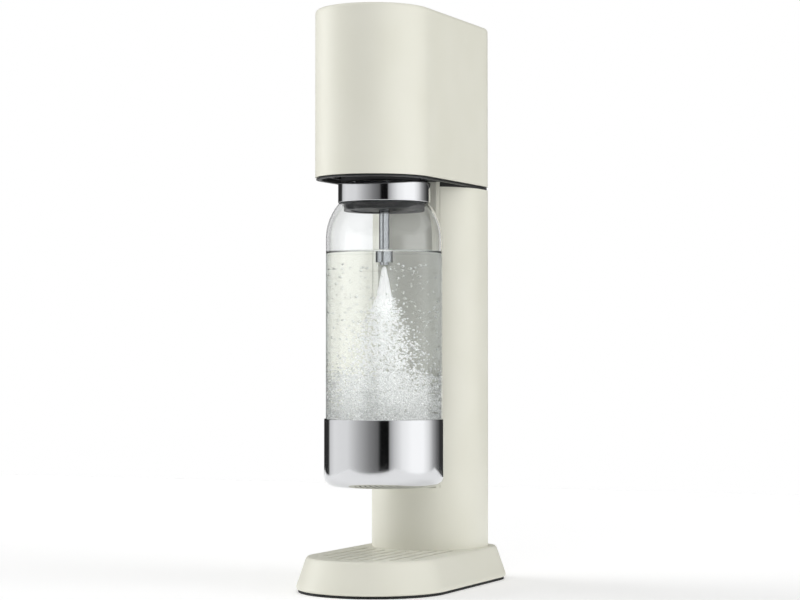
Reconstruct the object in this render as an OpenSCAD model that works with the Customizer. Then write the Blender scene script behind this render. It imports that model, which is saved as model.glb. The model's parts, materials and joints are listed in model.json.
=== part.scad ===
// Soda carbonator. A bottle hangs under an overhanging head, in front of a column that houses
// the gas cylinder. +Z is up, -Y is the front, and the origin is the middle of the foot pad's
// underside. Lengths are in millimetres.

/* [Body] */
// Height of the whole machine
total_h = 436; // [400:1:480]
// Width of the head and of the column
body_w = 89; // [88:0.5:110]
// Depth of the head, front to back
body_d = 184; // [180:1:220]
// Depth of the column, front to back
column_d = 82; // [80:1:100]
// Radius of the upright back corners
back_corner_r = 26; // [14:1:30]
// Wall of the plastic shells
wall = 2.6; // [2:0.1:3.2]
// Height of the head
head_h = 128; // [120:1:150]
// Rounding of the head's top edge
top_edge_r = 3; // [1:0.5:5]
// Shadow gap between the column and the head
neck_gap = 1; // [0.6:0.1:4]
// Gap along the seams between fixed shells
seam = 0.3; // [0.2:0.05:0.6]

/* [Base] */
// Height of the base, foot pad included
base_h = 26; // [24:0.5:40]
// How far the base spreads beyond the body at the table
flare_bottom = 14; // [12:0.5:24]
// How far the base spreads beyond the body at its top
flare_top = 6.4; // [4:0.2:10]
// Height of the rubber foot pad
foot_h = 2; // [1:0.5:4]
// Width of the rubber foot pad's ring
foot_w = 11; // [6:0.5:16]
// Thickness of the plate that closes the base
base_plate_t = 2.4; // [2:0.1:4]

/* [Drip tray] */
// Border between the grille and the edge of the base's top
grille_border = 8; // [6:0.5:14]
// Thickness of the grille
grille_t = 2.4; // [2:0.1:3.5]
// Depth of the tray under the grille
tray_depth = 12; // [8:0.5:15]
// Wall of the tray
tray_wall = 1.6; // [1.2:0.1:2.4]
// Width of a drain slot
slot_w = 3; // [2:0.2:5]
// Spacing of the drain slots
slot_pitch = 10.2; // [8:0.2:14]
// Number of drain slots
slot_count = 8; // [4:1:9]

/* [Bottle] */
// Radius of the bottle's clear wall
bottle_r = 44.2; // [40:0.2:48]
// Thickness of the bottle's clear wall
bottle_wall = 2.2; // [1.6:0.1:4]
// Height of the bottle's underside above the table
bottle_lift = 77.5; // [74:0.5:90]
// Distance from the head's front to the bottle's axis
bottle_reach = 62.5; // [60:0.5:64]
// Height of the metal cup on the bottle's foot
cup_h = 51; // [30:1:80]
// Radius of the cup's lower edge
cup_edge_r = 7.5; // [4:0.5:12]
// Radius of the shoulder's curve
shoulder_r = 41; // [30:1:60]
// Radius of the metal collar
collar_r = 35; // [33:0.2:36]
// Height of the metal collar
collar_h = 15; // [10:0.5:20]
// Radius of the bottle's mouth
mouth_r = 25.3; // [20:0.1:26]
// Gap between the bottle and the rest it leans towards
rest_gap = 6; // [3:0.5:7]
// Depth of the rest panel's wall
rest_t = 2.5; // [2:0.1:4]

/* [Bottle carriage] */
// Height of the tilting carriage's pivot above the head's lower edge
pivot_up = 19; // [18:0.5:24]
// Radius of the carriage's pivot pins
pivot_r = 3; // [2.5:0.1:3.5]
// Radius of the carriage's ring
holder_r = 33; // [32:0.1:33.5]
// How far each jaw opens
jaw_travel = 2.5; // [1:0.1:2.8]
// Radius of the gas nozzle's tube
nozzle_r = 4; // [3:0.1:5]
// Length of the nozzle below the bottle's collar
nozzle_drop = 45.5; // [30:0.5:60]
// Play of a pin in its bore
play = 0.06; // [0.03:0.01:0.1]

/* [Gas cylinder] */
// Radius of the gas cylinder
cylinder_r = 30; // [28:0.5:31]
// Length of the gas cylinder up to its valve
cylinder_len = 328; // [300:1:340]
// Wall of the gas cylinder
cylinder_wall = 3; // [2:0.5:5]
// Radius of the cylinder's valve
valve_r = 13; // [10:0.5:14]
// Height of the cylinder's valve
valve_h = 33; // [28:1:38]
// How far the cylinder drops when its lever is lifted
cylinder_drop = 5.5; // [4:0.5:5.5]

/* [Push button] */
// Radius of the push button
button_r = 17; // [12:0.5:20]
// Travel of the push button
button_travel = 8; // [4:0.5:8]
// Distance from the middle of the body back to the button's axis
button_back = 20; // [15:1:25]

/* [Rear cover] */
// Half the width of the rear cover
cover_half_w = 37.5; // [37:0.5:39]
// Height of the rear cover's lower edge
cover_low = 34; // [30:1:60]
// Height of the rear cover's upper edge above the head's lower edge
cover_up = 96; // [90:1:105]

/* [Hidden] */
$fn = 96;
eps = 0.01;

// Plan positions
body_r = body_w / 2;
back_y = body_d / 2;
head_c = -back_y + body_r;
column_c = back_y - column_d + body_r;
bottle_y = -back_y + bottle_reach;
cylinder_y = back_y - wall - 2.9 - cylinder_r;

// Levels
head_low = total_h - head_h;
column_top = head_low - neck_gap;
rim_lip = 0.9;
rim_groove = 0.9;
rim_w = 4.6;
floor_low = head_low + 3;
floor_t = 3;
floor_top = floor_low + floor_t;
plate_top = foot_h + base_plate_t;
base_roof = base_h - 3;
tray_rim_low = base_h - grille_t - 2;
ledge_t = 3;
head_roof = total_h - wall;

// Bottle
bottle_bore = bottle_r - bottle_wall;
cup_r = bottle_r + 1.3;
cup_floor = 1.4;
rest_r = cup_r + rest_gap;
rest_low = bottle_lift - 3.5;
collar_top = head_low - 1;
collar_low = collar_top - collar_h;
glass_top = collar_low - 0.2;
shoulder_top_r = collar_r - 1;
shoulder_rise = sqrt(pow(shoulder_r, 2) - pow(shoulder_r - bottle_r + shoulder_top_r, 2));
shoulder_z = glass_top - shoulder_rise;
glass_low = bottle_lift + cup_floor + seam;
insert_r = shoulder_top_r - bottle_wall - 1;
insert_low = collar_low - 6;
finish_r = mouth_r + 2.2;
mouth_z = floor_low + 3;

// Carriage
holder_low = collar_top + 0.4;
holder_roof = mouth_z + seam + 3.7;
holder_top = holder_roof + 6;
holder_wall = 2.2;
pivot_z = head_low + pivot_up;
arm_in = holder_r - 2;
arm_out = holder_r + 2.6;
ear_in = arm_out + 0.4;
ear_out = body_r - rim_w - seam;
ear_half = 7;
jaw_half = 6;
jaw_low = collar_top + 1;
jaw_h = 5;
jaw_t = 5;
floor_hole_r = max(arm_out + 0.9, finish_r + 0.3 + jaw_t + jaw_travel + 1.2);
floor_hole_ahead = 9;
nozzle_low = collar_low - nozzle_drop;
tip_h = 7.5;

// Gas parts
cylinder_low = plate_top + 2 + cylinder_drop + 0.6;
cylinder_top = cylinder_low + cylinder_len;
valve_top = cylinder_top + valve_h;
rail_in = cylinder_r + 3.6;
rail_out = rail_in + 4;
rail_front = cylinder_y - 11.5;
rail_back = cylinder_y + 16.5;
flange_t = 3;
deck_top = valve_top - 5;
deck_t = 8;
block_top = deck_top + 20;
block_half_d = 16;
block_half_w = rail_in - 0.6;
handle_y = cylinder_y + 5.5;
handle_z = deck_top + 10;
handle_pin_r = 2.5;
handle_half_h = 5;
handle_back = cylinder_y + 29.5;
pin_r = 2;
pin_top = block_top + 4.5;

relief_x = 24;
relief_y = cylinder_y - 10;
relief_top = block_top + 18;
poppet_r = 4;

// The hose's route, from the block's front to the port at the back of the left pivot ear
hose_r = 2.4;
hose_start = [-24, cylinder_y - block_half_d, deck_top + 10];
hose_end = [-(ear_in + ear_out) / 2, bottle_y + ear_half, pivot_z];
hose_route = [hose_start, hose_start - [0, 34, 0], hose_end + [0, 34, 0], hose_end];

// Button and lever
button_y = button_back;
button_top = total_h - 0.5;
cap_t = 3;
skirt_h = 8;
guide_floor_z = head_roof - skirt_h - button_travel - 2.4;
guide_floor_t = 2;
guide_floor_top = guide_floor_z + guide_floor_t;
lever_t = 6;
lever_top = guide_floor_z - 3;
lever_half_w = 7;
lever_y = cylinder_y + 23.5;
lever_z = lever_top - lever_t / 2;
lever_pin_r = 2;
bracket_in = lever_half_w + 1;
plunger_r = 3.5;

// Cover
cover_high = head_low + cover_up;
post_x = rail_in - 0.6;
post_r = 4;
magnet_t = 2.5;
post_levels = [cover_low + 36, cover_high - 64];

cream = "#e6e5d8";
dark = "#2b2b2b";
steel = "#c9ccd0";

// The body's plan: a round front, straight flanks and small back corners, grown or shrunk
module plan(front_c, grow = 0) {
    r = body_r + grow;
    flat_y = back_y - back_corner_r;
    intersection() {
        translate([0, front_c]) circle(r);
        translate([-r, front_c - r]) square([2 * r, r + 1]);
    }
    translate([-r, front_c]) square([2 * r, flat_y - front_c]);
    translate([-(body_r - back_corner_r), front_c])
        square([2 * (body_r - back_corner_r), back_y + grow - front_c]);
    for (side = [-1, 1])
        translate([side * (body_r - back_corner_r), flat_y]) circle(back_corner_r + grow);
}

// Sweeps a profile of [distance beyond the plan, height] round the body's plan
module rim_sweep(front_c) {
    flat_y = back_y - back_corner_r;
    corner_x = body_r - back_corner_r;
    translate([0, front_c, 0]) rotate([0, 0, 180])
        rotate_extrude(angle = 180) translate([body_r, 0]) children();
    for (side = [0, 1]) mirror([side, 0, 0]) {
        translate([body_r, flat_y, 0]) rotate([90, 0, 0])
            linear_extrude(flat_y - front_c) children();
        translate([corner_x, flat_y, 0])
            rotate_extrude(angle = 90) translate([back_corner_r, 0]) children();
    }
    translate([-corner_x, back_y, 0]) rotate([90, 0, 90])
        linear_extrude(2 * corner_x) children();
}

// A band between two grown copies of the plan
module plan_band(front_c, outer, inner, low, high) {
    translate([0, 0, low]) linear_extrude(high - low) difference() {
        plan(front_c, outer);
        plan(front_c, inner);
    }
}

module slab(front_c, grow, low, high) {
    translate([0, 0, low]) linear_extrude(high - low) plan(front_c, grow);
}

module box(x, y, z) {
    translate([x[0], y[0], z[0]]) cube([x[1] - x[0], y[1] - y[0], z[1] - z[0]]);
}

module rod_z(r, low, high) {
    translate([0, 0, low]) cylinder(r = r, h = high - low);
}

module rod_x(r, from, to) {
    translate([from, 0, 0]) rotate([0, 90, 0]) cylinder(r = r, h = to - from);
}

module tube_z(outer, inner, low, high) {
    difference() {
        rod_z(outer, low, high);
        rod_z(inner, low - 1, high + 1);
    }
}

// A tube of radius r through a list of points, as one closed solid
module sweep_tube(points, r, sides = 8) {
    count = len(points);
    ring_points = [
        for (i = [0:count - 1])
            let (
                ahead = points[min(i + 1, count - 1)] - points[max(i - 1, 0)],
                t = ahead / norm(ahead),
                side = abs(t[2]) > 0.9 ? cross(t, [1, 0, 0]) : cross(t, [0, 0, 1]),
                u = side / norm(side),
                v = cross(t, u)
            )
            for (k = [0:sides - 1])
                points[i] + r * (cos(360 * k / sides) * u + sin(360 * k / sides) * v)
    ];
    skin = [
        for (i = [0:count - 2], k = [0:sides - 1])
            let (n = (k + 1) % sides, a = i * sides, b = a + sides)
            [a + k, a + n, b + n, b + k]
    ];
    first = [for (k = [0:sides - 1]) sides - 1 - k];
    last = [for (k = [0:sides - 1]) (count - 1) * sides + k];
    polyhedron(ring_points, concat([first], skin, [last]));
}

function coil_point(r, height, turns, s) =
    [r * cos(360 * turns * s), r * sin(360 * turns * s), height * s];

// A round-wire compression spring that stands on z = 0
module spring(r, wire, height, turns) {
    steps = turns * 12;
    rise = height - 2 * wire;
    translate([0, 0, wire])
        sweep_tube([for (i = [0:steps]) coil_point(r, rise, turns, i / steps)], wire, 6);
}

function bezier(p, t) =
    pow(1 - t, 3) * p[0] + 3 * t * pow(1 - t, 2) * p[1]
    + 3 * t * t * (1 - t) * p[2] + pow(t, 3) * p[3];

// Places its children at each screw that holds the base plate
module at_base_screws() {
    for (side = [0, 1]) mirror([side, 0, 0]) {
        translate([body_r + 2.6, bottle_y, 0]) children();
        translate([body_r - back_corner_r, back_y - back_corner_r, 0]) rotate([0, 0, 45])
            translate([back_corner_r + 2.6, 0, 0]) children();
    }
}

// Places its children at each screw that holds the head's floor, with +X towards the shell
module at_head_screws() {
    inset = body_r - rim_w - seam - 3;
    for (side = [0, 1]) mirror([side, 0, 0]) {
        translate([0, head_c, 0]) rotate([0, 0, -46]) translate([inset, 0, 0]) children();
        translate([inset, column_c - body_r + 6, 0]) children();
    }
}

// Places its children at each screw that holds the chassis to the base plate
module at_chassis_screws() {
    for (x = [-1, 1], y = [-6, 6])
        translate([x * (rail_out + 4.4), cylinder_y + y, 0]) children();
}

module screw(head_r, head_h, shank_r, length) {
    difference() {
        cylinder(r = head_r, h = head_h);
        translate([0, 0, -1]) cylinder(r = head_r * 0.4, h = 1 + head_h * 0.6, $fn = 6);
    }
    translate([0, 0, head_h - eps]) cylinder(r = shank_r, h = length);
}

// The cut that the rear cover fills, with a seam all round
module cover_cut() {
    half = cover_half_w + seam;
    box([-half, half], [back_y - back_corner_r, back_y + 1], [cover_low - seam, cover_high + seam]);
}

/* ---- base ---- */

module foot_pad() {
    color(dark) plan_band(head_c, flare_bottom - 1.6, flare_bottom - 1.6 - foot_w, 0, foot_h);
}

module base_plate() {
    color(dark) difference() {
        union() {
            slab(head_c, flare_bottom - wall - 1, foot_h, plate_top);
            at_base_screws() rod_z(5, foot_h, plate_top + 2);
        }
        at_base_screws() {
            rod_z(3.1, foot_h - 1, foot_h + 2.2);
            rod_z(1.7, foot_h, plate_top + 3);
        }
        at_chassis_screws() {
            rod_z(3.1, foot_h - 1, foot_h + 1.4);
            rod_z(1.7, foot_h, plate_top + 3);
        }
    }
}

module base_screws() {
    color(steel) at_base_screws() translate([0, 0, foot_h + 0.2]) screw(2.8, 2, 1.5, 12);
}

// Half of the section of the base's skin: sloping sides with eased edges
module base_section() {
    slope = (flare_bottom - flare_top) / (base_h - foot_h);
    polygon([
        [-back_corner_r, foot_h], [flare_bottom - 1.2, foot_h], [flare_bottom - 0.3, foot_h + 0.5],
        [flare_bottom, foot_h + 1.4], [flare_bottom - slope, foot_h + 3],
        [flare_top + 1.6 * slope, base_h - 1.6], [flare_top, base_h - 0.8],
        [flare_top - 0.8, base_h], [-back_corner_r, base_h]
    ]);
}

module base_hollow_section() {
    slope = (flare_bottom - flare_top) / (base_h - foot_h);
    polygon([
        [-back_corner_r, foot_h - 1], [flare_bottom - wall + slope, foot_h - 1],
        [flare_top - wall + 3 * slope, base_roof], [-back_corner_r, base_roof]
    ]);
}

// The tray's plan: the round front of the base, cut back clear of the column and of the cylinder
module tray_plan(grow = 0) {
    r = body_r + flare_top - grille_border + grow;
    tail = cylinder_y - cylinder_r - 3 + grow;
    difference() {
        union() {
            translate([0, head_c]) circle(r);
            translate([-r, head_c]) square([2 * r, tail - head_c]);
        }
        translate([0, column_c]) circle(body_r + 1.2 - grow);
    }
}

module base_shell() {
    color(cream) difference() {
        union() {
            difference() {
                union() {
                    rim_sweep(head_c) base_section();
                    slab(head_c, -back_corner_r / 2, foot_h, base_h);
                }
                rim_sweep(head_c) base_hollow_section();
                slab(head_c, -back_corner_r / 2, foot_h - 1, base_roof);
            }
            translate([0, 0, tray_rim_low - ledge_t]) linear_extrude(base_roof - tray_rim_low + ledge_t)
                tray_plan(2.4);
            at_base_screws() rod_z(3.6, plate_top + 2 + seam, base_roof + 1);
        }
        translate([0, 0, tray_rim_low]) linear_extrude(base_h) tray_plan(seam);
        translate([0, 0, foot_h]) linear_extrude(base_h) tray_plan(-3);
        slab(column_c, -wall, foot_h, base_h + 1);
        at_base_screws() rod_z(1.5, foot_h, base_roof - 2);
    }
}

module drip_tray() {
    floor_z = tray_rim_low - tray_depth + 2;
    color(dark) difference() {
        union() {
            translate([0, 0, tray_rim_low]) linear_extrude(2) tray_plan();
            translate([0, 0, floor_z]) linear_extrude(tray_rim_low - floor_z + eps)
                tray_plan(-3 - seam);
        }
        translate([0, 0, floor_z + tray_wall]) linear_extrude(tray_depth + 1)
            tray_plan(-3 - seam - tray_wall);
    }
}

// One drain slot with round ends
module slot(x, front, back) {
    translate([x, front]) circle(slot_w / 2);
    translate([x, back]) circle(slot_w / 2);
    translate([x - slot_w / 2, front]) square([slot_w, back - front]);
}

module drip_grille() {
    r = body_r + flare_top - grille_border - 5;
    column_side = body_r + 6;
    color(cream) translate([0, 0, base_h - grille_t]) linear_extrude(grille_t) difference() {
        tray_plan();
        for (i = [0:slot_count - 1]) {
            x = (i - (slot_count - 1) / 2) * slot_pitch;
            front = head_c - sqrt(max(pow(r, 2) - x * x, 0)) + 1;
            back = column_c - sqrt(max(pow(column_side, 2) - x * x, 0)) - 1;
            slot(x, front, back);
        }
    }
}

/* ---- column and head ---- */

module column_shell() {
    color(cream) difference() {
        union() {
            plan_band(column_c, 0, -wall, base_h, column_top);
            plan_band(column_c, -wall, -wall - 2, base_h, base_h + 5);
            plan_band(column_c, -wall - 0.2, -wall - 2, base_roof - 2, base_h);
        }
        translate([0, bottle_y, 0]) rod_z(rest_r + rest_t + seam, rest_low, column_top + 1);
        cover_cut();
    }
}

module bottle_rest_panel() {
    lens_t = 2.5;
    color(cream) {
        intersection() {
            slab(column_c, 0, rest_low, floor_low - seam);
            translate([0, bottle_y, 0]) tube_z(rest_r + rest_t, rest_r, rest_low, total_h);
        }
        intersection() {
            slab(column_c, -wall - seam, rest_low - lens_t, rest_low);
            translate([0, bottle_y, 0]) rod_z(rest_r + rest_t, rest_low - lens_t, rest_low);
        }
    }
}

module neck_seal() {
    color(dark) difference() {
        union() {
            plan_band(column_c, -0.8, -rim_w, column_top, head_low);
            intersection() {
                plan_band(column_c, -0.8, -rim_w, head_low - eps, floor_low);
                slab(head_c, -rim_w - seam, head_low - 1, floor_low + 1);
            }
        }
        translate([0, bottle_y, 0]) rod_z(rest_r + rest_t + seam, column_top - 1, total_h);
        cover_cut();
    }
}

module head_profile() {
    height = head_h - rim_lip - rim_groove;
    translate([-back_corner_r, 0]) {
        square([back_corner_r, height - top_edge_r]);
        square([back_corner_r - top_edge_r, height]);
    }
    translate([-top_edge_r, height - top_edge_r]) circle(top_edge_r);
}

module head_shell() {
    shell_low = head_low + rim_lip + rim_groove;
    color(cream) difference() {
        union() {
            difference() {
                union() {
                    translate([0, 0, shell_low]) rim_sweep(head_c) head_profile();
                    slab(head_c, -back_corner_r / 2, shell_low, total_h);
                }
                slab(head_c, -wall, shell_low - 1, head_roof);
            }
            intersection() {
                at_head_screws() {
                    rod_z(4, floor_top + seam, floor_top + 15);
                    box([0, 8], [-1.5, 1.5], [floor_top + seam, floor_top + 15]);
                }
                slab(head_c, -wall / 2, floor_top, total_h);
            }
        }
        at_head_screws() rod_z(1.5, floor_top, floor_top + 13);
        translate([0, button_y, 0]) rod_z(button_r + 0.5, head_roof - 1, total_h + 1);
        cover_cut();
    }
}

module head_rim() {
    color(dark) difference() {
        union() {
            plan_band(head_c, -0.8, -rim_w, head_low, head_low + rim_lip);
            plan_band(head_c, -wall - seam, -rim_w, head_low + rim_lip - eps, floor_top);
        }
        cover_cut();
    }
}

module floor_hole() {
    translate([0, bottle_y]) circle(floor_hole_r);
    translate([0, bottle_y - floor_hole_ahead]) circle(floor_hole_r);
    translate([-floor_hole_r, bottle_y - floor_hole_ahead])
        square([2 * floor_hole_r, floor_hole_ahead]);
}

module head_floor() {
    color(dark) difference() {
        union() {
            translate([0, 0, floor_low]) linear_extrude(floor_t) difference() {
                plan(head_c, -rim_w - seam);
                floor_hole();
                plan(column_c, -rim_w);
            }
            for (side = [0, 1]) mirror([side, 0, 0]) translate([0, bottle_y, 0]) {
                box([ear_in, ear_out], [-ear_half, ear_half], [floor_top - eps, pivot_z]);
                translate([0, 0, pivot_z]) rod_x(ear_half, ear_in, ear_out);
            }
        }
        translate([0, bottle_y, pivot_z]) rod_x(pivot_r + play, -body_r, body_r);
        at_head_screws() rod_z(1.7, floor_low - 1, floor_top + 1);
    }
}

module head_screws() {
    color(steel) at_head_screws() translate([0, 0, floor_low - 1.8]) screw(2.8, 1.8, 1.5, 12);
}

/* ---- gas parts ---- */

// A side rail of angle section
module rail() {
    box([rail_in, rail_out], [rail_front, rail_back], [plate_top, deck_top]);
    box([rail_in - 2.1, rail_out], [rail_back - flange_t, rail_back], [plate_top, deck_top]);
    box([rail_in, rail_out + 8.8], [cylinder_y - 10, cylinder_y + 10], [plate_top, plate_top + 3]);
}

module chassis() {
    throat = valve_r + 0.5;
    color("#5a5d60") difference() {
        union() {
            for (side = [0, 1]) mirror([side, 0, 0]) rail();
            box([-rail_out, rail_out], [cylinder_y - block_half_d, cylinder_y + block_half_d],
                [deck_top - deck_t, deck_top]);
        }
        translate([0, cylinder_y, 0]) {
            rod_z(throat, deck_top - deck_t - 1, deck_top + 1);
            box([-throat, throat], [0, block_half_d + 1], [deck_top - deck_t - 1, deck_top + 1]);
        }
        at_chassis_screws() rod_z(1.5, foot_h, plate_top + 4);
    }
}

module chassis_screws() {
    color(steel) at_chassis_screws() translate([0, 0, foot_h]) screw(2.8, 1.4, 1.5, 4);
}

module cylinder_cradle() {
    color(dark) translate([0, cylinder_y, 0]) difference() {
        rod_z(cylinder_r + 2.4, plate_top, plate_top + 15);
        rod_z(cylinder_r + 0.4, plate_top + 2, plate_top + 16);
    }
}

// Half of the section of the cylinder: round foot edge, straight wall and round shoulder
module cylinder_half(inset) {
    r = cylinder_r - inset;
    foot_r = 6;
    shoulder = 24;
    low = cylinder_low + inset;
    body_top = cylinder_top - shoulder;
    translate([0, low]) square([r - foot_r, foot_r]);
    translate([0, low + foot_r]) square([r, body_top - low - foot_r]);
    intersection() {
        translate([r - foot_r, low + foot_r]) circle(foot_r);
        translate([0, low]) square([r, foot_r]);
    }
    intersection() {
        translate([0, body_top]) circle(r);
        translate([0, body_top]) square([r, shoulder - inset]);
    }
}

module gas_cylinder() {
    color("#c3cbd2") translate([0, cylinder_y, 0]) rotate_extrude() difference() {
        cylinder_half(0);
        cylinder_half(cylinder_wall);
    }
}

module cylinder_valve() {
    color("#c8a95a") translate([0, cylinder_y, 0]) difference() {
        union() {
            rod_z(valve_r, cylinder_top, cylinder_top + 10);
            rod_z(valve_r - 2.5, cylinder_top + 10 - eps, valve_top - 10);
            rod_z(valve_r, valve_top - 10 - eps, valve_top);
        }
        rod_z(pin_r + 0.6, valve_top - 14, valve_top + 1);
    }
}

module valve_pin() {
    color(steel) translate([0, cylinder_y, 0]) {
        rod_z(pin_r, valve_top - 7, pin_top);
        rod_z(pin_r + 0.4, valve_top - 8, valve_top - 6);
    }
}

module quick_connect_block() {
    color(dark) difference() {
        box([-block_half_w, block_half_w], [cylinder_y - block_half_d, cylinder_y + block_half_d],
            [deck_top, block_top]);
        translate([0, cylinder_y, 0]) {
            rod_z(valve_r + 0.4, deck_top - 1, valve_top + 0.5);
            rod_z(pin_r + 0.8, deck_top, block_top + 1);
        }
        translate([0, handle_y, handle_z]) rod_x(handle_pin_r, -body_r, body_r);
    }
}

module cylinder_handle() {
    arm_in = block_half_w + 0.4;
    arm_out = arm_in + 4.2;
    color("#8fa39a") difference() {
        intersection() {
            union() {
                for (side = [0, 1]) mirror([side, 0, 0]) translate([0, handle_y, handle_z]) {
                    rod_x(handle_half_h, arm_in, arm_out);
                    box([arm_in, arm_out], [0, handle_back - handle_y],
                        [-handle_half_h, handle_half_h]);
                }
                box([-arm_out, arm_out], [handle_back - 9, handle_back],
                    [handle_z - handle_half_h, handle_z + handle_half_h]);
            }
            slab(head_c, -wall - 3, deck_top, block_top);
        }
        translate([0, handle_y, handle_z]) rod_x(handle_pin_r + play, -body_r, body_r);
    }
}

module handle_pin() {
    reach = block_half_w + 5;
    color(steel) translate([0, handle_y, handle_z]) rod_x(handle_pin_r, -reach, reach);
}

module relief_valve() {
    color("#c8a95a") translate([relief_x, relief_y, 0]) difference() {
        rod_z(6, block_top, relief_top);
        rod_z(poppet_r + 0.4, block_top + 1, relief_top - 2);
        rod_z(2, block_top, relief_top + 1);
    }
}

module relief_poppet() {
    color(steel) translate([relief_x, relief_y, 0]) {
        rod_z(poppet_r, block_top + 1.3, block_top + 4.3);
        rod_z(1.5, block_top + 4.3 - eps, relief_top + 2);
    }
}

module relief_spring() {
    low = block_top + 4.4;
    color(steel) translate([relief_x, relief_y, low])
        spring(2.9, 0.5, relief_top - 2.1 - low, 6);
}

module gas_hose() {
    steps = 28;
    color("#d8dde0") sweep_tube([for (i = [0:steps]) bezier(hose_route, i / steps)], hose_r);
}

/* ---- button and lever ---- */

module lever_bracket() {
    half_d = 6;
    out = bracket_in + 4;
    color("#5a5d60") translate([0, lever_y, 0]) difference() {
        union() {
            box([-out - 4, out + 4], [-half_d, half_d], [head_roof - 3, head_roof]);
            for (side = [0, 1]) mirror([side, 0, 0]) {
                box([bracket_in, out], [-half_d, half_d], [lever_z, head_roof - 3 + eps]);
                translate([0, 0, lever_z]) rod_x(half_d, bracket_in, out);
            }
        }
        translate([0, 0, lever_z]) rod_x(lever_pin_r, -body_r, body_r);
    }
}

module lever_pin() {
    reach = bracket_in + 5;
    color(steel) translate([0, lever_y, lever_z]) rod_x(lever_pin_r, -reach, reach);
}

module carbonating_lever() {
    color("#8fa39a") difference() {
        union() {
            box([-lever_half_w, lever_half_w], [button_y - 8, lever_y],
                [lever_top - lever_t, lever_top]);
            translate([0, lever_y, lever_z]) rod_x(5, -lever_half_w, lever_half_w);
            translate([0, cylinder_y, 0]) rod_z(3.5, pin_top + 0.3, lever_top - 1);
        }
        translate([0, lever_y, lever_z]) rod_x(lever_pin_r + play, -body_r, body_r);
    }
}

module push_button() {
    color("#dddccf") translate([0, button_y, 0]) difference() {
        union() {
            rod_z(button_r, button_top - skirt_h, button_top - 1);
            translate([0, 0, button_top - 1]) cylinder(r1 = button_r, r2 = button_r - 1, h = 1);
        }
        difference() {
            rod_z(button_r - 2, button_top - skirt_h - 1, button_top - cap_t);
            rod_z(plunger_r, button_top - skirt_h - 2, button_top);
        }
    }
    color("#dddccf") translate([0, button_y, 0])
        rod_z(plunger_r, lever_top + 0.3, button_top - cap_t + eps);
}

module button_guide() {
    color(dark) translate([0, button_y, 0]) difference() {
        rod_z(button_r + 3.5, guide_floor_z, head_roof);
        rod_z(button_r + 0.5, guide_floor_top, head_roof + 1);
        rod_z(plunger_r + 0.7, guide_floor_z - 1, head_roof);
    }
}

module button_spring() {
    color(steel) translate([0, button_y, guide_floor_top + 0.1])
        spring(7, 0.8, button_top - cap_t - guide_floor_top - 0.2, 5);
}

/* ---- bottle carriage ---- */

module holder_ring() {
    difference() {
        rod_z(holder_r, holder_low, holder_top);
        rod_z(holder_r - holder_wall, holder_low - 1, holder_roof);
    }
}

module bottle_holder() {
    arm_half = ear_half - 0.5;
    color(dark) translate([0, bottle_y, 0]) difference() {
        union() {
            holder_ring();
            for (side = [0, 1]) mirror([side, 0, 0]) {
                box([arm_in - 6, arm_out], [-arm_half, arm_half], [holder_roof, pivot_z]);
                translate([0, 0, pivot_z]) rod_x(arm_half, arm_in - 6, arm_out);
            }
        }
        translate([0, 0, pivot_z]) rod_x(pivot_r, -body_r, body_r);
        rod_z(nozzle_r, holder_low, holder_top + 1);
        box([-body_r, body_r], [-jaw_half - 0.4, jaw_half + 0.4],
            [jaw_low - 0.4, jaw_low + jaw_h + 0.4]);
    }
}

module pivot_pins() {
    color(steel) for (side = [0, 1]) mirror([side, 0, 0])
        translate([0, bottle_y, pivot_z]) rod_x(pivot_r, arm_in - 5, ear_out);
}

// The right-hand jaw, a block whose inner face follows the bottle's mouth
module jaw() {
    translate([0, bottle_y, 0]) difference() {
        box([finish_r - 2, finish_r + 0.3 + jaw_t], [-jaw_half, jaw_half],
            [jaw_low, jaw_low + jaw_h]);
        rod_z(finish_r + 0.3, jaw_low - 1, jaw_low + jaw_h + 1);
    }
}

module snap_jaw_left() {
    color("#3c4043") mirror([1, 0, 0]) jaw();
}

module snap_jaw_right() {
    color("#3c4043") jaw();
}

module neck_gasket() {
    color("#1c1c1c") translate([0, bottle_y, 0])
        tube_z(holder_r - holder_wall - 0.3, mouth_r - 0.3, mouth_z + 0.3, holder_roof);
}

module neck_plug() {
    color(dark) translate([0, bottle_y, 0]) tube_z(mouth_r - 0.4, nozzle_r, insert_low + 0.8, holder_roof);
}

module nozzle_tube() {
    color(steel) translate([0, bottle_y, 0]) tube_z(nozzle_r, nozzle_r - 1, nozzle_low + tip_h, holder_top);
}

module nozzle_tip() {
    color(steel) translate([0, bottle_y, 0]) difference() {
        union() {
            rod_z(nozzle_r + 1, nozzle_low, nozzle_low + tip_h);
            rod_z(2.4, nozzle_low - 2, nozzle_low + eps);
        }
        rod_z(0.6, nozzle_low - 3, nozzle_low + tip_h + 1);
    }
}

/* ---- bottle ---- */

// Half of the bottle's solid section: upright wall, round foot edge and round shoulder
module bottle_half(r, low, edge_r, curve_r) {
    translate([0, low]) square([r - edge_r, edge_r]);
    translate([0, low + edge_r]) square([r, shoulder_z - low - edge_r]);
    intersection() {
        translate([r - edge_r, low + edge_r]) circle(edge_r);
        translate([0, low]) square([r, edge_r]);
    }
    intersection() {
        translate([r - curve_r, shoulder_z]) circle(curve_r);
        translate([0, shoulder_z - eps]) square([r, glass_top - shoulder_z + eps]);
    }
}

module bottle_glass() {
    color([0.85, 0.92, 0.93, 0.35]) translate([0, bottle_y, 0]) rotate_extrude() difference() {
        bottle_half(bottle_r, glass_low, cup_edge_r - 1.3, shoulder_r);
        bottle_half(bottle_bore, glass_low + 4, cup_edge_r - 1.3, shoulder_r - bottle_wall);
        translate([0, shoulder_z]) square([insert_r + 0.3, total_h]);
    }
}

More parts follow.
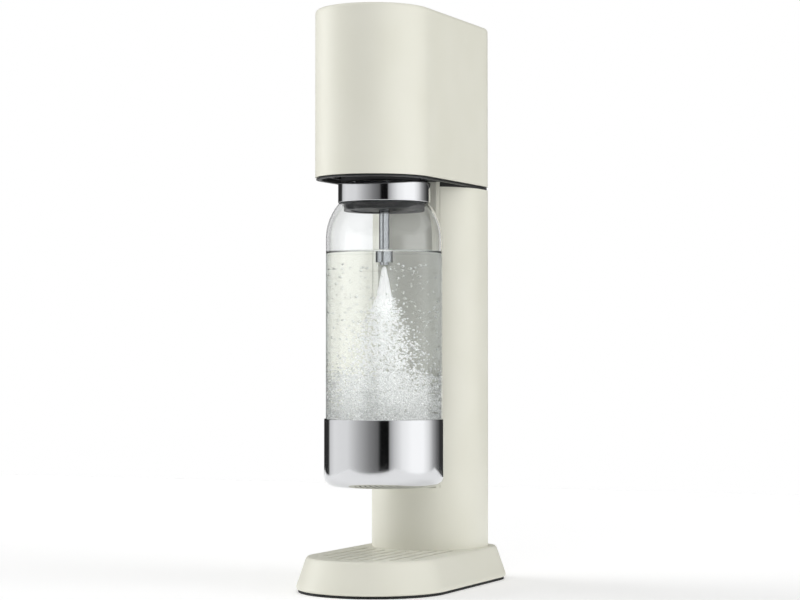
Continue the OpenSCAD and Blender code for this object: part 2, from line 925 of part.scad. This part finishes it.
module neck_insert() {
    color("#222426") translate([0, bottle_y, 0]) rotate_extrude() polygon([
        [mouth_r, insert_low], [insert_r, insert_low], [insert_r, collar_low],
        [shoulder_top_r, collar_low], [shoulder_top_r, collar_top - 0.8],
        [finish_r, collar_top - 0.8], [finish_r, mouth_z], [mouth_r, mouth_z]
    ]);
}

module bottle_collar() {
    color("#d5d7da") translate([0, bottle_y, 0]) rotate_extrude() polygon([
        [collar_r - 1, collar_low], [collar_r - 0.3, collar_low], [collar_r, collar_low + 0.4],
        [collar_r, collar_top - 0.4], [collar_r - 0.4, collar_top], [finish_r + 0.5, collar_top],
        [finish_r + 0.5, collar_top - 0.8], [collar_r - 1, collar_top - 0.8]
    ]);
}

module bottle_cup() {
    inner_r = bottle_r + 0.3;
    cup_top = bottle_lift + cup_h;
    color("#d5d7da") translate([0, bottle_y, 0]) rotate_extrude() difference() {
        union() {
            translate([0, bottle_lift]) square([cup_r - cup_edge_r, cup_edge_r]);
            translate([0, bottle_lift + cup_edge_r]) square([cup_r, cup_h - cup_edge_r - 0.4]);
            translate([0, cup_top - 1]) square([cup_r - 0.4, 1]);
            intersection() {
                translate([cup_r - cup_edge_r, bottle_lift + cup_edge_r]) circle(cup_edge_r);
                translate([0, bottle_lift]) square([cup_r, cup_edge_r]);
            }
        }
        translate([0, bottle_lift + cup_floor]) square([inner_r - cup_edge_r + 1, cup_h]);
        translate([0, bottle_lift + cup_edge_r + 0.4]) square([inner_r, cup_h]);
        translate([inner_r - cup_edge_r + 1, bottle_lift + cup_floor + cup_edge_r - 1])
            circle(cup_edge_r - 1);
    }
}

/* ---- rear cover ---- */

module rear_cover() {
    color(cream) {
        intersection() {
            plan_band(head_c, 0, -wall, cover_low, cover_high);
            box([-cover_half_w, cover_half_w], [back_y - back_corner_r + 1, back_y + 1],
                [cover_low, cover_high]);
        }
        intersection() {
            for (side = [-1, 1], z = post_levels)
                translate([side * post_x, rail_back + magnet_t + 0.3, z]) rotate([-90, 0, 0])
                    cylinder(r = post_r, h = back_y - rail_back);
            slab(head_c, -wall / 2, cover_low, cover_high);
        }
    }
}

module cover_magnets() {
    color(steel) for (side = [-1, 1], z = post_levels)
        translate([side * post_x, rail_back, z]) rotate([-90, 0, 0])
            cylinder(r = post_r, h = magnet_t);
}

foot_pad();
base_plate();
base_screws();
base_shell();
drip_tray();
drip_grille();
column_shell();
bottle_rest_panel();
neck_seal();
head_shell();
head_rim();
head_floor();
head_screws();
chassis();
chassis_screws();
cylinder_cradle();
gas_cylinder();
cylinder_valve();
valve_pin();
quick_connect_block();
cylinder_handle();
handle_pin();
relief_valve();
relief_poppet();
relief_spring();
gas_hose();
lever_bracket();
lever_pin();
carbonating_lever();
push_button();
button_guide();
button_spring();
bottle_holder();
pivot_pins();
snap_jaw_left();
snap_jaw_right();
neck_gasket();
neck_plug();
nozzle_tube();
nozzle_tip();
bottle_glass();
neck_insert();
bottle_collar();
bottle_cup();
rear_cover();
cover_magnets();
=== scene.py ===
"""Soda carbonator: the looks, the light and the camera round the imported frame."""

import json
import math
import random

import bpy
from mathutils import Matrix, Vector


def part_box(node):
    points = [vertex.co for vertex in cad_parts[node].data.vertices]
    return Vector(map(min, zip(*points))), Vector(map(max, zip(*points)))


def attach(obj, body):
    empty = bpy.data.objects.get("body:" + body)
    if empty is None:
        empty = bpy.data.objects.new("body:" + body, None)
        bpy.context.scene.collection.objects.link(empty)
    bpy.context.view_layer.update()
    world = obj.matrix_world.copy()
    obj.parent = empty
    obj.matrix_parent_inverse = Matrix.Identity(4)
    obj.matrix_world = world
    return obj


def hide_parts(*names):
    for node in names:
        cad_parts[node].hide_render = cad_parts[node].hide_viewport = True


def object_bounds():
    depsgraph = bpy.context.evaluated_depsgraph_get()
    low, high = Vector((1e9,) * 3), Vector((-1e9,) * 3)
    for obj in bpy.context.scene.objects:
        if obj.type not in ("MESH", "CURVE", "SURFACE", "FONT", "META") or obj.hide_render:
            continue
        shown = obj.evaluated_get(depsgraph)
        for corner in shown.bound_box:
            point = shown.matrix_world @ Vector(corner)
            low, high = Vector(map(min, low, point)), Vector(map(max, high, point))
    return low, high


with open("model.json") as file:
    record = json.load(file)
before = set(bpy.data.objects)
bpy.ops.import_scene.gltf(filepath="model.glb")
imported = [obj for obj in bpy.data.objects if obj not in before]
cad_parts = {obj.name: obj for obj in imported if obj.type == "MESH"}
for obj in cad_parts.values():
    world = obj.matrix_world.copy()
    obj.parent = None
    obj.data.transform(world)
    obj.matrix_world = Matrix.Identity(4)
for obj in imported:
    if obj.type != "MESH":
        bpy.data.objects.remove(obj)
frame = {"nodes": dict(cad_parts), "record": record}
cad_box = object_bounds()
nodes = frame["nodes"]
MM = 0.001

# ---- sizes and places: the outsides come from the frame, the bottle's wall and bends are set here ----

glass_low, glass_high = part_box("bottle_glass")
cup_low, cup_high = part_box("bottle_cup")
collar_low, collar_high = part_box("bottle_collar")
tip_low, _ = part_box("nozzle_tip")

AXIS_Y = (glass_low.y + glass_high.y) / 2
BOTTLE_R = (glass_high.x - glass_low.x) / 2
CUP_R = (cup_high.x - cup_low.x) / 2
COLLAR_R = (collar_high.x - collar_low.x) / 2
FINISH_R = 27.5 * MM
WALL = 2.2 * MM
BORE_R = BOTTLE_R - WALL
FLOOR_T = 4 * MM
CUP_EDGE_R = 7.5 * MM
FOOT_EDGE_R = 6.2 * MM
SHOULDER_R = 41 * MM
SHOULDER_TOP_R = 34 * MM
SHOULDER_Z = glass_high.z - math.sqrt(SHOULDER_R**2 - (SHOULDER_R - BOTTLE_R + SHOULDER_TOP_R) ** 2)
WATER_Z = 253.5 * MM


# ---- helpers ----


def rgb(code):
    """A hex colour, given in sRGB, as linear red, green, blue and alpha."""
    parts = [int(code[i : i + 2], 16) / 255 for i in (1, 3, 5)]
    return (*[c / 12.92 if c <= 0.04045 else ((c + 0.055) / 1.055) ** 2.4 for c in parts], 1)


def put(tree, kind, settings=None, links=None, **values):
    """Adds a node: settings are its properties, values its inputs, and links its linked inputs."""
    node = tree.nodes.new(kind)
    for name, value in (settings or {}).items():
        setattr(node, name, value)
    for name, value in values.items():
        node.inputs[name.replace("_", " ")].default_value = value
    for name, source in (links or {}).items():
        tree.links.new(source, node.inputs[name])
    return node


def material(name, **values):
    """A new material with one Principled shader, and the tree and shader to work on."""
    mat = bpy.data.materials.new(name)
    mat.use_nodes = True
    tree = mat.node_tree
    shader = tree.nodes["Principled BSDF"]
    for key, value in values.items():
        shader.inputs[key.replace("_", " ")].default_value = value
    return mat, tree, shader


def grain(tree, size_mm, detail=2.0):
    """Noise in Object coordinates whose features are about size_mm across."""
    place = put(tree, "ShaderNodeTexCoord")
    return put(
        tree,
        "ShaderNodeTexNoise",
        links={"Vector": place.outputs["Object"]},
        Scale=1 / (size_mm * MM),
        Detail=detail,
    )


def spread(tree, source, low, high):
    """Maps a 0 to 1 value to the range from low to high."""
    node = put(tree, "ShaderNodeMapRange", links={"Value": source}, To_Min=low, To_Max=high)
    return node.outputs["Result"]


def bump(tree, shader, height, depth_mm, strength):
    node = put(
        tree, "ShaderNodeBump", links={"Height": height}, Strength=strength, Distance=depth_mm * MM
    )
    tree.links.new(node.outputs["Normal"], shader.inputs["Normal"])


def two_tone(tree, shader, source, dark, light):
    ramp = put(tree, "ShaderNodeValToRGB", links={"Fac": source})
    ramp.color_ramp.elements[0].color = rgb(dark)
    ramp.color_ramp.elements[1].color = rgb(light)
    ramp.color_ramp.elements[0].position = 0.35
    ramp.color_ramp.elements[1].position = 0.65
    tree.links.new(ramp.outputs["Color"], shader.inputs["Base Color"])


# ---- materials ----


def moulded_plastic(name, dark, light, grit_mm, roughness):
    """Injection-moulded ABS: fine spark-eroded grain, and a tone that drifts slightly."""
    mat, tree, shader = material(name, IOR=1.54)
    drift = grain(tree, 45, 1)
    two_tone(tree, shader, drift.outputs["Fac"], dark, light)
    grit = grain(tree, grit_mm)
    gloss = spread(tree, grit.outputs["Fac"], roughness - 0.05, roughness + 0.05)
    tree.links.new(gloss, shader.inputs["Roughness"])
    bump(tree, shader, grit.outputs["Fac"], 0.02, 0.35)
    return mat


def polished_steel(name, tone, roughness):
    """Polished stainless steel: a mirror with faint polishing haze."""
    mat, tree, shader = material(name, Metallic=1.0, Base_Color=rgb(tone))
    haze = grain(tree, 6, 4)
    gloss = spread(tree, haze.outputs["Fac"], roughness * 0.7, roughness * 1.4)
    tree.links.new(gloss, shader.inputs["Roughness"])
    return mat


def turned_metal(name, tone, roughness):
    """Turned metal: fine rings along the lathe's axis."""
    mat, tree, shader = material(name, Metallic=1.0, Base_Color=rgb(tone))
    place = put(tree, "ShaderNodeTexCoord")
    rings = put(
        tree,
        "ShaderNodeTexWave",
        {"wave_type": "BANDS", "bands_direction": "Z"},
        {"Vector": place.outputs["Object"]},
        Scale=900,
        Distortion=1.5,
    )
    gloss = spread(tree, rings.outputs["Fac"], roughness - 0.06, roughness + 0.06)
    tree.links.new(gloss, shader.inputs["Roughness"])
    bump(tree, shader, rings.outputs["Fac"], 0.01, 0.2)
    return mat


def rubber(name, tone):
    """Moulded rubber: dull, with a coarse sandy grain."""
    mat, tree, shader = material(name, IOR=1.52, Base_Color=rgb(tone))
    grit = grain(tree, 0.7)
    gloss = spread(tree, grit.outputs["Fac"], 0.7, 0.9)
    tree.links.new(gloss, shader.inputs["Roughness"])
    bump(tree, shader, grit.outputs["Fac"], 0.05, 0.4)
    return mat


def powder_coat(name, dark, light):
    """Powder-coated sheet steel: an orange-peel surface of millimetre-wide dimples."""
    mat, tree, shader = material(name, IOR=1.5)
    peel = grain(tree, 1.2, 1)
    two_tone(tree, shader, peel.outputs["Fac"], dark, light)
    gloss = spread(tree, peel.outputs["Fac"], 0.32, 0.45)
    tree.links.new(gloss, shader.inputs["Roughness"])
    bump(tree, shader, peel.outputs["Fac"], 0.03, 0.4)
    return mat


def clear_polymer():
    """Clear blow-moulded copolyester: glassy, with faint flow waves."""
    mat, tree, shader = material(
        "clear_copolyester",
        IOR=1.5,
        Roughness=0.0,
        Transmission_Weight=1.0,
        Base_Color=rgb("#FDFEFE"),
    )
    flow = grain(tree, 25, 1)
    bump(tree, shader, flow.outputs["Fac"], 0.05, 0.1)
    return mat


def soda_water():
    """Still-clear carbonated water, very slightly green in depth."""
    return material(
        "soda_water",
        IOR=1.333,
        Roughness=0.0,
        Transmission_Weight=1.0,
        Base_Color=rgb("#FCFDFC"),
    )[0]


def gas_foam(name, clear, glow):
    """Gas in water: bright skins that pass part of the light and scatter the rest, with a little painted
    glow, an emission that stands in for the light that foam passes on from bubble to bubble."""
    mat, tree, shader = material(
        name,
        IOR=1.33,
        Transmission_Weight=clear,
        Emission_Color=(1, 1, 1, 1),
        # painted glow: an emission in place of the light scattered through the foam
        Emission_Strength=glow,
    )
    shade = grain(tree, 2.5)
    two_tone(tree, shader, shade.outputs["Fac"], "#F6F8F7", "#FFFFFF")
    gloss = spread(tree, shade.outputs["Fac"], 0.02, 0.12)
    tree.links.new(gloss, shader.inputs["Roughness"])
    return mat


CREAM = moulded_plastic("moulded_cream_abs", "#E3E2D4", "#E6E5D8", 0.6, 0.4)
BLACK = moulded_plastic("moulded_black_abs", "#202122", "#262728", 0.6, 0.5)
ACETAL = moulded_plastic("dark_grey_acetal", "#333538", "#3A3C3F", 0.5, 0.35)
SAGE = moulded_plastic("glossy_sage_polyamide", "#88988F", "#8E9D95", 1.2, 0.25)
BUTTON = moulded_plastic("button_cream_abs", "#DAD9CA", "#DDDCCE", 0.5, 0.32)
HOSE = moulded_plastic("milky_pressure_hose", "#CDD3D6", "#D5DADD", 1.0, 0.3)
RUBBER = rubber("moulded_black_rubber", "#1B1B1C")
MIRROR = polished_steel("mirror_polished_stainless", "#DADBDD", 0.06)
STEEL = turned_metal("turned_stainless", "#C4C6C8", 0.25)
BRIGHT_TUBE = polished_steel("drawn_bright_steel_tube", "#8C8F92", 0.12)
BRASS = turned_metal("turned_brass", "#C9A55A", 0.28)
COATED = powder_coat("powder_coated_grey_steel", "#55585C", "#5B5E62")
CYLINDER = powder_coat("painted_gas_cylinder", "#BAC4CB", "#C1CAD1")
CLEAR = clear_polymer()
WATER = soda_water()
# The last number is a painted glow, an emission that stands in for the light passed through the foam.
FOAM = gas_foam("fine_gas_foam", 0.0, 0.4)
FOAM_BUBBLE = gas_foam("white_gas_bubbles", 0.15, 0.22)
BUBBLE = gas_foam("clear_gas_bubbles", 0.88, 0.05)
SINGLE_BUBBLE = gas_foam("single_gas_bubbles", 1.0, 0.0)

FINISH = {
    "cream_plastic": CREAM,
    "dark_plastic": BLACK,
    "rubber": RUBBER,
    "steel": STEEL,
    "chrome": MIRROR,
    "brass": BRASS,
    "chassis_metal": COATED,
    "cylinder_metal": CYLINDER,
    "handle_plastic": SAGE,
    "button_plastic": BUTTON,
    "jaw_plastic": ACETAL,
    "hose_plastic": HOSE,
    "bottle_glass": CLEAR,
}


def dress_frame():
    """Gives every CAD node the finish of its material slot."""
    for part in frame["record"]["subparts"]:
        shape = nodes[part["node"]]
        shape.data.materials.clear()
        shape.data.materials.append(FINISH[part["material_slot"]])
    for node in ("nozzle_tube", "nozzle_tip"):
        nodes[node].data.materials[0] = BRIGHT_TUBE


# ---- turned pieces ----


def arc(centre_r, centre_z, radius, start, end, count):
    """Points on an arc in the half plane of radius and height, from start to end degrees."""
    turns = [math.radians(start + (end - start) * i / count) for i in range(count + 1)]
    return [(centre_r + radius * math.cos(t), centre_z + radius * math.sin(t)) for t in turns]


def turned(name, outline, finish, steps=160):
    """Draws an outline of radius and height by extruding a point, and spins it round the bottle's axis."""
    bpy.ops.object.select_all(action="DESELECT")
    bpy.ops.mesh.primitive_plane_add(size=MM, location=(0, 0, 0))
    piece = bpy.context.object
    piece.name = name
    bpy.ops.object.mode_set(mode="EDIT")
    bpy.ops.mesh.select_all(action="SELECT")
    bpy.ops.mesh.merge(type="CENTER")
    bpy.ops.transform.translate(value=(outline[0][0], AXIS_Y, outline[0][1]))
    for (r0, z0), (r1, z1) in zip(outline, outline[1:]):
        bpy.ops.mesh.extrude_region_move(TRANSFORM_OT_translate={"value": (r1 - r0, 0, z1 - z0)})
    bpy.ops.mesh.select_all(action="SELECT")
    bpy.ops.mesh.spin(steps=steps, angle=2 * math.pi, center=(0, AXIS_Y, 0), axis=(0, 0, 1))
    bpy.ops.mesh.select_all(action="SELECT")
    bpy.ops.mesh.remove_doubles(threshold=0.005 * MM)
    bpy.ops.mesh.dissolve_degenerate(threshold=0.001 * MM)
    bpy.ops.mesh.normals_make_consistent(inside=False)
    bpy.ops.object.mode_set(mode="OBJECT")
    bpy.ops.object.shade_smooth_by_angle(angle=math.radians(35))
    piece.data.materials.append(finish)
    return piece


def bottle_wall():
    """The blown bottle: upright wall, rounded foot and round shoulder, open at the neck."""
    low = glass_low.z
    inner_r = SHOULDER_R - WALL
    outer_end = math.degrees(math.acos((SHOULDER_TOP_R - BOTTLE_R + SHOULDER_R) / SHOULDER_R))
    inner_end = math.degrees(math.asin((glass_high.z - SHOULDER_Z) / inner_r))
    outline = (
        [(0, low)]
        + arc(BOTTLE_R - FOOT_EDGE_R, low + FOOT_EDGE_R, FOOT_EDGE_R, -90, 0, 8)
        + arc(BOTTLE_R - SHOULDER_R, SHOULDER_Z, SHOULDER_R, 0, outer_end, 20)
        + arc(BORE_R - inner_r, SHOULDER_Z, inner_r, inner_end, 0, 20)
        + arc(BORE_R - FOOT_EDGE_R, low + FLOOR_T + FOOT_EDGE_R, FOOT_EDGE_R, 0, -90, 8)
        + [(0, low + FLOOR_T)]
    )
    wall = turned("blown_bottle", outline, CLEAR)
    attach(wall, "bottle")
    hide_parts("bottle_glass")


def water():
    """The water, which reaches a tenth of a millimetre into the wall and creeps up it at the top."""
    low = glass_low.z + FLOOR_T - 0.1 * MM
    r = BORE_R + 0.1 * MM
    creep = 1.6 * MM
    outline = (
        [(0, low)]
        + arc(r - FOOT_EDGE_R, low + FOOT_EDGE_R, FOOT_EDGE_R, -90, 0, 8)
        + [(r, WATER_Z + creep)]
        + arc(r - creep - 0.2 * MM, WATER_Z + creep, creep, 0, -90, 6)
        + [(r - 8 * MM, WATER_Z), (0, WATER_Z)]
    )
    body = turned("water", outline, WATER)
    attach(body, "bottle")


def cup():
    """The drawn steel cup on the bottle's foot, with a rolled lip and a shallow ring pressed under it."""
    low, high = cup_low.z, cup_high.z
    t = 1 * MM
    lip = 0.45 * MM
    outline = (
        [(0, low + 0.8 * MM), (24 * MM, low + 0.8 * MM), (25 * MM, low + 0.3 * MM), (26 * MM, low)]
        + arc(CUP_R - CUP_EDGE_R, low + CUP_EDGE_R, CUP_EDGE_R, -90, 0, 16)
        + arc(CUP_R - lip, high - lip, lip, 0, 180, 8)
        + arc(CUP_R - CUP_EDGE_R, low + CUP_EDGE_R, CUP_EDGE_R - t, 0, -90, 12)
        + [(26 * MM, low + t), (24 * MM, low + 0.8 * MM + t * 0.4), (0, low + 0.8 * MM + t * 0.4)]
    )
    shell = turned("steel_cup", outline, MIRROR)
    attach(shell, "bottle")
    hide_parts("bottle_cup")


def collar():
    """The steel collar, drawn over the bottle's neck: an upright band turned in over the top."""
    low, high = collar_low.z, collar_high.z
    t = 0.8 * MM
    edge = 0.6 * MM
    lip = t / 2
    outline = (
        arc(COLLAR_R - lip, low + lip, lip, 180, 360, 8)
        + arc(COLLAR_R - edge, high - edge, edge, 0, 90, 6)
        + [(FINISH_R + 0.5 * MM, high), (FINISH_R + 0.5 * MM, high - t), (COLLAR_R - t, high - t)]
        + [(COLLAR_R - t, low + lip)]
    )
    band = turned("steel_collar", outline, MIRROR)
    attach(band, "bottle")
    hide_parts("bottle_collar")


# ---- gas in the water ----


def jet():
    """The gas as it leaves the nozzle: a narrow white cone that frays as it widens."""
    top = tip_low.z - 1.2 * MM
    steps = [(0, 0), (0.8, -1.5), (1.6, -6), (2.5, -12), (3.4, -18), (4.2, -23), (4.5, -27),
             (3.7, -31), (2.0, -34), (0, -35)]
    cone = turned("gas_jet", [(r * MM, top + z * MM) for r, z in steps], FOAM, 28)
    bpy.ops.object.mode_set(mode="EDIT")
    bpy.ops.mesh.select_all(action="SELECT")
    bpy.ops.mesh.subdivide(number_cuts=1, smoothness=0.6)
    bpy.ops.transform.vertex_random(offset=0.5 * MM, uniform=0.2, normal=1.0, seed=3)
    bpy.ops.object.mode_set(mode="OBJECT")
    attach(cone, "bottle")


def bubbles(name, places, finish):
    """Copies one small ball to every place, which gives the middle and the radius of a bubble."""
    bpy.ops.object.select_all(action="DESELECT")
    bpy.ops.mesh.primitive_ico_sphere_add(subdivisions=1, radius=1, location=(0, 0, 0))
    ball = bpy.context.object
    corners = [v.co.copy() for v in ball.data.vertices]
    faces = [tuple(f.vertices) for f in ball.data.polygons]
    spots, skins = [], []
    for x, y, z, r in places:
        turn = Matrix.Rotation(random.uniform(0, math.pi), 3, "Z")
        flat = random.uniform(0.75, 1.0)
        first = len(spots)
        for c in corners:
            c = turn @ c
            spots.append((x + r * c.x, y + r * c.y, z + r * flat * c.z))
        skins += [tuple(first + i for i in f) for f in faces]
    mesh = bpy.data.meshes.new(name)
    mesh.from_pydata(spots, [], skins)
    mesh.shade_smooth()
    ball.data = mesh
    ball.name = name
    mesh.materials.append(finish)
    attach(ball, "bottle")


def in_disc(radius):
    """A random place in a disc round the bottle's axis."""
    turn, share = random.uniform(0, 2 * math.pi), math.sqrt(random.random())
    return radius * share * math.cos(turn), AXIS_Y + radius * share * math.sin(turn)


def in_plume(sigma):
    """A random place near the bottle's axis, inside the wall."""
    limit = BORE_R - 2 * MM
    x, y = random.gauss(0, sigma), random.gauss(0, sigma)
    reach = math.hypot(x, y)
    if reach > limit:
        x, y = x * limit / reach, y * limit / reach
    return x, AXIS_Y + y


# How many bubbles of each kind there are, and their least and greatest radius in millimetres.
FROTH_COUNT, FROTH_RADII = 3600, (0.6, 1.3)
WHITE_FROTH_COUNT, WHITE_FROTH_RADII = 1700, (0.4, 0.9)
PLUME_COUNT, PLUME_RADII = 3800, (0.35, 0.9)
FIZZ_COUNT, FIZZ_RADII = 760, (0.45, 1.15)
# Where they lie, in millimetres of height, and how wide the plume spreads.
FROTH_LOW, FROTH_DEPTH, WHITE_FROTH_DEPTH = 121, 48, 40
PLUME_TOP, PLUME_DEPTH = 220, 80
PLUME_SPREAD, PLUME_WIDENING = 3, 13
FIZZ_LOW, FIZZ_RISE = 130, 116


def gas_in_water():
    """Froth on the floor, the plume that the jet breaks into, and single bubbles above them."""
    random.seed(11)
    room = BORE_R - 1.8 * MM
    froth = []
    for _ in range(FROTH_COUNT):
        z = (FROTH_LOW + FROTH_DEPTH * (1 - math.sqrt(random.random()))) * MM
        froth.append((*in_disc(room), z, random.uniform(*FROTH_RADII) * MM))
    bubbles("froth", froth, BUBBLE)
    white = []
    for _ in range(WHITE_FROTH_COUNT):
        z = (FROTH_LOW + WHITE_FROTH_DEPTH * random.random() ** 1.3) * MM
        white.append((*in_disc(room - 4 * MM), z, random.uniform(*WHITE_FROTH_RADII) * MM))
    bubbles("white_froth", white, FOAM_BUBBLE)
    plume = []
    for _ in range(PLUME_COUNT):
        down = random.random() ** 0.85
        z = (PLUME_TOP - PLUME_DEPTH * down) * MM
        spread_here = (PLUME_SPREAD + PLUME_WIDENING * down) * MM
        plume.append((*in_plume(spread_here), z, random.uniform(*PLUME_RADII) * MM))
    bubbles("plume", plume, FOAM_BUBBLE)
    fizz = []
    for _ in range(FIZZ_COUNT):
        rise = random.random() ** 1.7
        z = (FIZZ_LOW + FIZZ_RISE * rise) * MM
        fizz.append((*in_disc(room), z, random.uniform(*FIZZ_RADII) * MM))
    bubbles("fizz", fizz, SINGLE_BUBBLE)


# ---- light, floor and camera ----

VIEW_TURN = 23.99
VIEW_RISE = 1.386
CAMERA_AT = (0.69516, -1.5622, 0.17765)
FOCAL_MM = 99.88


# Degrees are counted round the object: 0 is towards the camera and 90 is to its right.
# Tones are radiance.
# Softboxes that light dull surfaces: (middle, half width, soft edge, tone).
LEFT_SOFTBOX = (-112, 8, 27, 3.7)
FRONT_FILL = (-10, 5, 25, 1.3)
RIGHT_SOFTBOX = (68, 8, 26, 2.3)
DIM_GAP = 0.2
BACK_WALL = 0.8


def softboxes_round():
    """The walls as they light a dull surface: dim gaps between three softboxes, and a pale back wall."""
    stops = [(-180, BACK_WALL), (-160, DIM_GAP)]
    for middle, half, edge, tone in (LEFT_SOFTBOX, FRONT_FILL, RIGHT_SOFTBOX):
        stops += [
            (middle - half - edge, DIM_GAP), (middle - half, tone),
            (middle + half, tone), (middle + half + edge, DIM_GAP),
        ]
    return stops + [(150, DIM_GAP), (172, BACK_WALL), (180, BACK_WALL)]


# The walls as they come through the bottle: white behind it, dark flags that outline its edges,
# a bright front, and one dark strip that stripes the nozzle.
THROUGH_GLASS_ROUND = [
    (-180, 0.95), (-152, 0.95), (-140, 0.12), (-106, 0.12), (-94, 1.7), (-50, 2.1), (-34, 0.2),
    (-16, 0.2), (-6, 1.8), (30, 2.0), (94, 1.6), (106, 0.12), (140, 0.12), (152, 0.95),
    (180, 0.95),
]
# The walls as polished steel mirrors them: a softbox on the left that fades out towards the front,
# a black flag straight behind the camera, a wide softbox on the right, and a dark back.
MIRRORED_ROUND = [
    (-180, 0.03), (-133, 0.03), (-126, 0.75), (-110, 0.95), (-75, 0.92), (-50, 0.55), (-28, 0.28),
    (-12, 0.15), (-6.5, 0.004), (8.5, 0.004), (11, 0.4), (20, 0.72), (35, 1.1), (55, 1.3),
    (80, 1.3), (95, 0.95), (108, 0.45), (120, 0.2), (135, 0.04), (180, 0.03),
]
CEILING = 0.82
# Sines of the heights between which the walls fade into the ceiling.
WALL_ENDS, CEILING_STARTS = 0.45, 0.85


def room_tone(tree, share, height, stops):
    """One reading of the room: its walls by turn, and one tone overhead."""
    ramp = put(tree, "ShaderNodeValToRGB", links={"Fac": share})
    elements = ramp.color_ramp.elements
    elements[0].position, elements[1].position = 0, 1
    for degrees, _ in stops[1:-1]:
        elements.new(degrees / 360 + 0.5)
    for stop, (_, tone) in zip(elements, stops):
        stop.color = (tone, tone, tone, 1)
    sky = put(tree, "ShaderNodeMix", {"data_type": "RGBA", "clamp_result": False})
    tree.links.new(height, sky.inputs["Factor"])
    tree.links.new(ramp.outputs["Color"], sky.inputs["A"])
    sky.inputs["B"].default_value = (CEILING, CEILING, CEILING, 1)
    room = put(tree, "ShaderNodeBackground", links={"Color": sky.outputs["Result"]}, Strength=1.0)
    return room.outputs["Background"]


def studio_light():
    """A studio whose walls read differently to dull surfaces, through the bottle and in a mirror."""
    world = bpy.data.worlds.new("studio")
    bpy.context.scene.world = world
    world.use_nodes = True
    tree = world.node_tree
    tree.nodes.clear()
    place = put(tree, "ShaderNodeTexCoord")
    turn = put(tree, "ShaderNodeMapping", links={"Vector": place.outputs["Generated"]})
    turn.inputs["Rotation"].default_value = (0, 0, -math.radians(VIEW_TURN))
    axes = put(tree, "ShaderNodeSeparateXYZ", links={"Vector": turn.outputs["Vector"]})
    toward = put(
        tree, "ShaderNodeMath", {"operation": "MULTIPLY"}, {0: axes.outputs["Y"]}
    )
    toward.inputs[1].default_value = -1
    angle = put(
        tree,
        "ShaderNodeMath",
        {"operation": "ARCTAN2"},
        {0: axes.outputs["X"], 1: toward.outputs["Value"]},
    )
    share = put(
        tree,
        "ShaderNodeMapRange",
        links={"Value": angle.outputs["Value"]},
        From_Min=-math.pi,
        From_Max=math.pi,
    )
    height = put(
        tree,
        "ShaderNodeMapRange",
        links={"Value": axes.outputs["Z"]},
        From_Min=WALL_ENDS,
        From_Max=CEILING_STARTS,
    )
    path = put(tree, "ShaderNodeLightPath")
    lit, through, mirrored = [
        room_tone(tree, share.outputs["Result"], height.outputs["Result"], stops)
        for stops in (softboxes_round(), THROUGH_GLASS_ROUND, MIRRORED_ROUND)
    ]
    plain = put(tree, "ShaderNodeBackground", Color=(1, 1, 1, 1), Strength=1.0)
    shiny = put(tree, "ShaderNodeMixShader", links={"Fac": path.outputs["Is Glossy Ray"]})
    tree.links.new(lit, shiny.inputs[1])
    tree.links.new(mirrored, shiny.inputs[2])
    glassy = put(tree, "ShaderNodeMixShader", links={"Fac": path.outputs["Is Transmission Ray"]})
    tree.links.new(shiny.outputs["Shader"], glassy.inputs[1])
    tree.links.new(through, glassy.inputs[2])
    mix = put(tree, "ShaderNodeMixShader", links={"Fac": path.outputs["Is Camera Ray"]})
    tree.links.new(glassy.outputs["Shader"], mix.inputs[1])
    tree.links.new(plain.outputs["Background"], mix.inputs[2])
    put(tree, "ShaderNodeOutputWorld", links={"Surface": mix.outputs["Shader"]})


FLOOR_SIZE = 2.4
FLOOR_GLOW = 0.12
LIGHT_BOUNCES = 28


def floor():
    """A matt white floor, with a little glow of its own so that it runs into the background."""
    bpy.ops.mesh.primitive_plane_add(size=FLOOR_SIZE, location=(0, 0, cad_box[0].z))
    plane = bpy.context.object
    plane.name = "floor"
    mat, _, _ = material(
        "matt_white_sweep",
        Roughness=0.9,
        Base_Color=rgb("#FFFFFF"),
        Emission_Color=(1, 1, 1, 1),
        Emission_Strength=FLOOR_GLOW,
    )
    plane.data.materials.append(mat)


def camera():
    """The camera, and the turn that the studio's degrees start from."""
    data = bpy.data.cameras.new("camera")
    data.lens = FOCAL_MM
    data.sensor_width = 36
    shot = bpy.data.objects.new("camera", data)
    bpy.context.scene.collection.objects.link(shot)
    shot.location = CAMERA_AT
    shot.rotation_euler = (math.radians(90 + VIEW_RISE), 0, math.radians(VIEW_TURN))
    bpy.context.scene.camera = shot


scene = bpy.context.scene
scene.view_settings.view_transform = "Standard"
# Light has to pass the wall and the water on its way in and on its way out.
scene.cycles.max_bounces = LIGHT_BOUNCES
scene.cycles.transmission_bounces = LIGHT_BOUNCES
dress_frame()
bottle_wall()
water()
cup()
collar()
jet()
gas_in_water()
studio_light()
floor()
camera()
